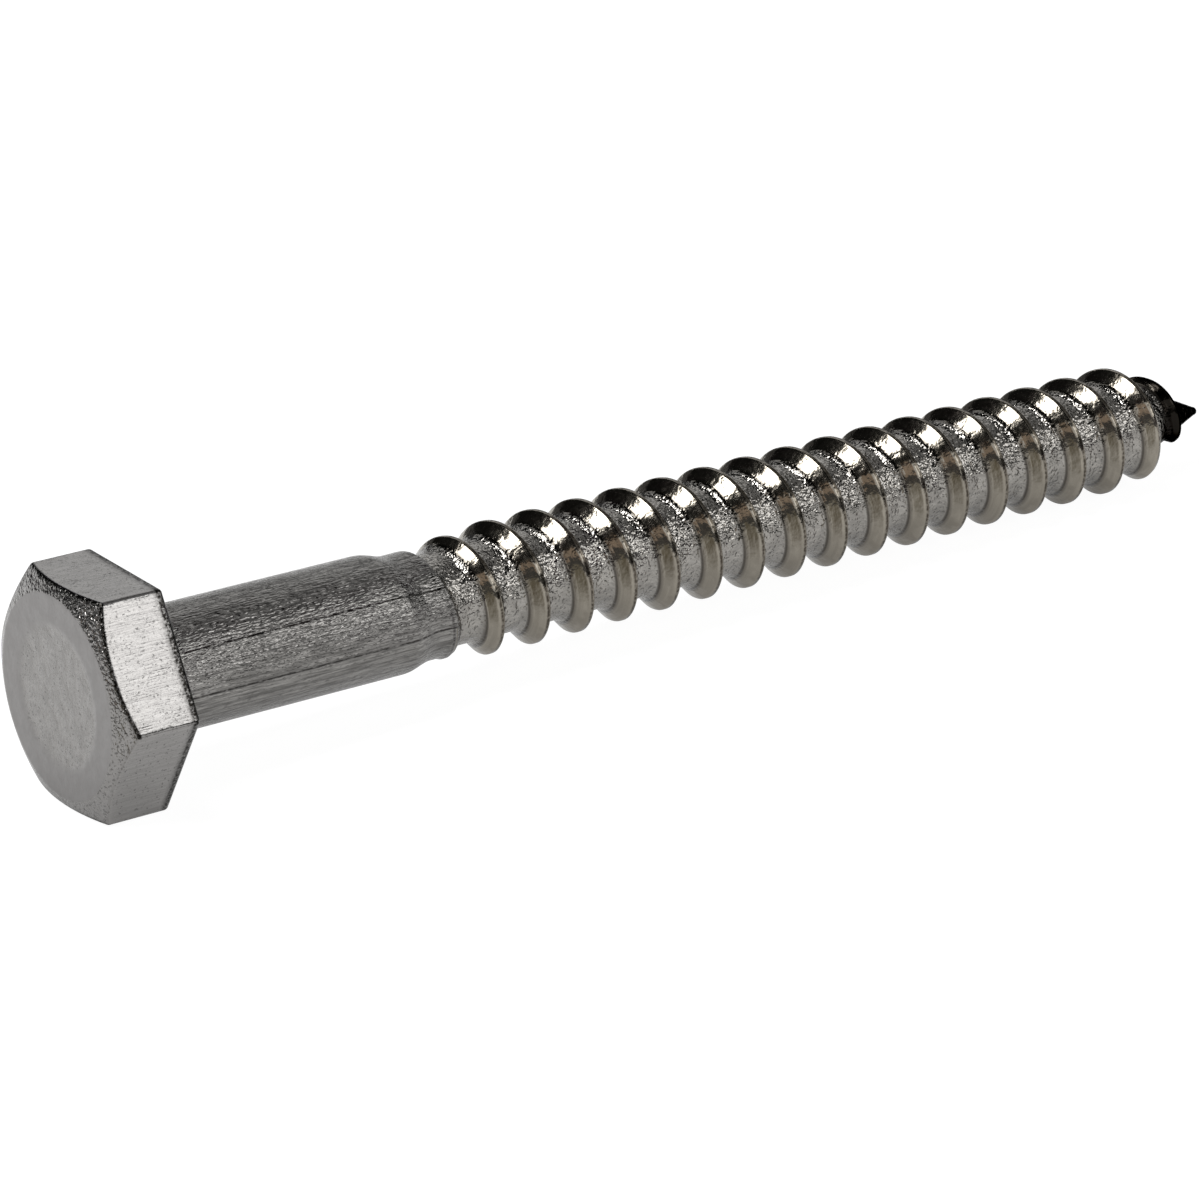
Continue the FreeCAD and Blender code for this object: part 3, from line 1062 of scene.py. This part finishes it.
@dataclass
class Studio:
    """A white floor, boards and a panel of light for the steel to mirror, and the photograph's camera.

    Angles are in degrees, and the camera's lengths and the middle's place are in millimetres. The
    floor's, boards' and panel's sizes are in metres, and a radiance of 1 is white.
    """

    sizes: ScrewSizes
    floor_height: float
    azimuth: float = -35.5474
    elevation: float = 21.6453
    roll: float = 0.1991
    pivot: float = 58.846
    shift_right: float = -14.33
    shift_up: float = -6.8489
    distance: float = 415.6483
    lens: float = 160.95
    middle: float = 47.0
    floor_radius: float = 2.0
    floor_glow: float = 0.95
    table_left: Band = (0.55, 0.86)
    table_near: Band = (0.15, 0.35)
    shade_reach: float = 0.03
    shade_least: float = 0.3
    room_light: float = 0.7

    def add_camera(self) -> None:
        """Place the camera that took the photograph, and make it the scene's own."""
        turn, lift, roll = (math.radians(angle) for angle in (self.azimuth, self.elevation, self.roll))
        back = Vector((math.sin(turn) * math.cos(lift), -math.cos(turn) * math.cos(lift), math.sin(lift)))
        level = Vector((math.cos(turn), math.sin(turn), 0.0))
        upright = back.cross(level)
        right = level * math.cos(roll) + upright * math.sin(roll)
        up = upright * math.cos(roll) - level * math.sin(roll)
        place = Vector((self.pivot, 0.0, 0.0)) + right * self.shift_right + up * self.shift_up
        place += back * self.distance
        axes = Matrix((right, up, back)).transposed().to_4x4()
        data = bpy.data.cameras.new("photograph")
        data.lens = self.lens
        data.sensor_width = 36.0
        data.clip_start = 0.01
        data.clip_end = 20.0
        camera = add_object("photograph", data)
        hang = Matrix.Rotation(self.sizes.tilt, 4, "Y")
        camera.matrix_world = hang @ Matrix.Translation(place * METRES_PER_MM) @ axes
        bpy.context.scene.camera = camera

    def seen(self, tree: NodeTree) -> Node:
        """Add nodes for whether a ray shows the background: to the camera, in metal or through glass.

        Args:
            tree: the tree that gets them.

        Returns:
            The node that gives 1 for such a ray.
        """
        path = add_node(tree, "ShaderNodeLightPath").outputs
        mirrored = add_node(tree, "MAXIMUM", [path["Is Glossy Ray"], path["Is Transmission Ray"]])
        return add_node(tree, "MAXIMUM", [path["Is Camera Ray"], mirrored])

    def add_floor(self) -> None:
        """Lay the pale floor, which shows white and keeps a faint shadow of the screw."""
        mesh = bpy.data.meshes.new("floor")
        body = bmesh.new()
        bmesh.ops.create_circle(body, cap_ends=True, segments=96, radius=self.floor_radius)
        bmesh.ops.translate(body, verts=body.verts, vec=(self.middle * METRES_PER_MM, 0.0, self.floor_height))
        body.to_mesh(mesh)
        body.free()
        material = bpy.data.materials.new("white_paper")
        tree = empty_tree(material)
        add = partial(add_node, tree)
        paper = add("ShaderNodeBsdfDiffuse", [linear("E6E6E4")])
        faint = add("ShaderNodeBsdfDiffuse", [linear("6E6E6E")])
        camera = add("ShaderNodeLightPath").outputs["Is Camera Ray"]
        shown = add("ShaderNodeAddShader", [
            faint, add("ShaderNodeEmission", [linear("FFFFFF"), self.floor_glow])])

        # In the steel, the floor to the left and towards the viewer looks like a darker table.
        incoming = add("ShaderNodeNewGeometry").outputs["Incoming"]
        ways = add("ShaderNodeSeparateXYZ", [incoming]).outputs
        leftward, nearer = (add(RAMP, [way, *band, 0.0, 1.0])
                            for way, band in zip(ways, (self.table_left, self.table_near)))
        table = add("MULTIPLY", [leftward, nearer])
        tint = add(MIX, {0: table, 6: linear("FFFFFF"), 7: linear("8C8676")}, data_type="RGBA").outputs[2]
        # In the steel, the floor near the screw is darkened by its ambient occlusion: painted shade.
        open_sky = add("ShaderNodeAmbientOcclusion", {"Distance": self.shade_reach}).outputs["AO"]
        strength = add(RAMP, [open_sky, 0.0, 1.0, self.shade_least, 1.0])
        mirrored = add("ShaderNodeEmission", [tint, strength])
        shown = add("ShaderNodeMixShader", [camera, mirrored, shown])
        floor_shader = add("ShaderNodeMixShader", [self.seen(tree), paper, shown])
        add("ShaderNodeOutputMaterial", [floor_shader])
        mesh.materials.append(material)
        add_object("floor", mesh)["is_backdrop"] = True

    def add_board(self, name: str, corners: Sequence[tuple[float, float, float]], radiance: float,
                  colour: str = "FFFFFF") -> None:
        """Hang a flat board that the steel mirrors and the camera doesn't see.

        Args:
            name: the board's name.
            corners: its corners in metres from the screw's middle on the floor.
            radiance: how bright it looks, 1 being white and 0 black.
            colour: its colour in sRGB hex.
        """
        mesh = bpy.data.meshes.new(name)
        middle = Vector((self.middle * METRES_PER_MM, 0.0, self.floor_height))
        mesh.from_pydata([Vector(corner) + middle for corner in corners], [], [tuple(range(len(corners)))])
        material = bpy.data.materials.new(name)
        tree = empty_tree(material)
        lit = add_node(tree, "ShaderNodeEmission", [linear(colour), radiance])
        add_node(tree, "ShaderNodeOutputMaterial", [lit])
        mesh.materials.append(material)
        board = add_object(name, mesh)
        board.visible_camera = False
        board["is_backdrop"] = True

    def add_wall(self, radius: float, height: float, radiance: float, count: int = 24) -> None:
        """Stand a low dark wall round the whole floor, beyond the camera, for the steel to mirror.

        Args:
            radius: the wall's radius in metres.
            height: its height in metres.
            radiance: how bright it looks, 1 being white.
            count: how many boards it has.
        """
        for index in range(count):
            angles = (math.tau * index / count, math.tau * (index + 1) / count)
            low = [(radius * math.cos(angle), radius * math.sin(angle), 0.0) for angle in angles]
            high = [(x, y, height) for x, y, _ in reversed(low)]
            self.add_board(f"wall_{index}", low + high, radiance)

    def add_panel(self, name: str, way: tuple[float, float, float], away: float, size: tuple[float, float],
                  radiance: float) -> None:
        """Hang a soft panel of light that faces the screw.

        Args:
            name: the panel's name.
            way: direction from the screw to the panel.
            away: distance in metres.
            size: width and height in metres.
            radiance: how bright the panel looks, 1 being white.
        """
        data = bpy.data.lights.new(name, "AREA")
        data.shape = "RECTANGLE"
        data.size, data.size_y = size
        data.energy = radiance * math.pi * size[0] * size[1]
        direction = Vector(way).normalized()
        place = Vector((self.middle * METRES_PER_MM, 0.0, 0.0)) + direction * away
        turned = direction.to_track_quat("Z", "Y").to_matrix().to_4x4()
        add_object(name, data).matrix_world = Matrix.Translation(place) @ turned

    def add_world(self) -> None:
        """Fill the room with plain pale light, which shows white where nothing stands in it."""
        world = bpy.data.worlds.new("studio")
        tree = empty_tree(world)
        strength = add_node(tree, RAMP, [self.seen(tree), 0.0, 1.0, self.room_light, 1.0])
        room = add_node(tree, "ShaderNodeBackground", [linear("FFFFFF"), strength])
        add_node(tree, "ShaderNodeOutputWorld", [room])
        bpy.context.scene.world = world

    def build(self) -> None:
        """Set up the whole studio."""
        self.add_camera()
        self.add_floor()
        self.add_world()
        self.add_wall(0.8, 0.2, 0.1)
        for name, (left, near, right, far), top, radiance in (
                ("black_board", (-1.9, -0.75, 0.25, 4.0), 0.7, 0.01),
                ("dim_board", (0.25, -0.75, 0.85, 0.45), 0.7, 0.3),
                ("side_board", (0.85, -0.75, 2.0, 0.45), 0.7, 0.03),
                ("pale_board", (0.25, 0.45, 2.0, 2.5), 0.7, 0.85),
                ("soft_box", (-0.98, -0.12, -0.1, 0.22), 0.66, 8.0)):
            corners = ((left, near), (right, near), (right, far), (left, far))
            self.add_board(name, [(*corner, top) for corner in corners], radiance)
        for name, start, end, top, radiance, colour in (
                ("warm_board", (-2.4, -2.6), (-2.4, 0.6), 1.4, 0.6, "F2DCC8"),
                ("dark_card", (0.0, -0.76), (0.85, -0.76), 0.32, 0.08, "FFFFFF")):
            corners = [(*start, 0.0), (*end, 0.0), (*end, top), (*start, top)]
            self.add_board(name, corners, radiance, colour)
        self.add_panel("front_panel", (0.42, -0.72, 0.53), 1.0, (1.0, 0.3), 1.8)
        bpy.context.scene.view_settings.view_transform = "Standard"
        LOG.info("studio: floor at %.2f mm", self.floor_height * MM_PER_METRE)


def main() -> None:
    """Load the frame, build the screw, and set up the studio with its floor at the bottom of the frame's box.
    """
    logging.basicConfig(level=logging.INFO, format="%(message)s")
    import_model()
    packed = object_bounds()
    screw = CoachScrew()
    screw.build()
    Studio(screw.sizes, packed[0][2]).build()


if __name__ == "__main__":
    main()
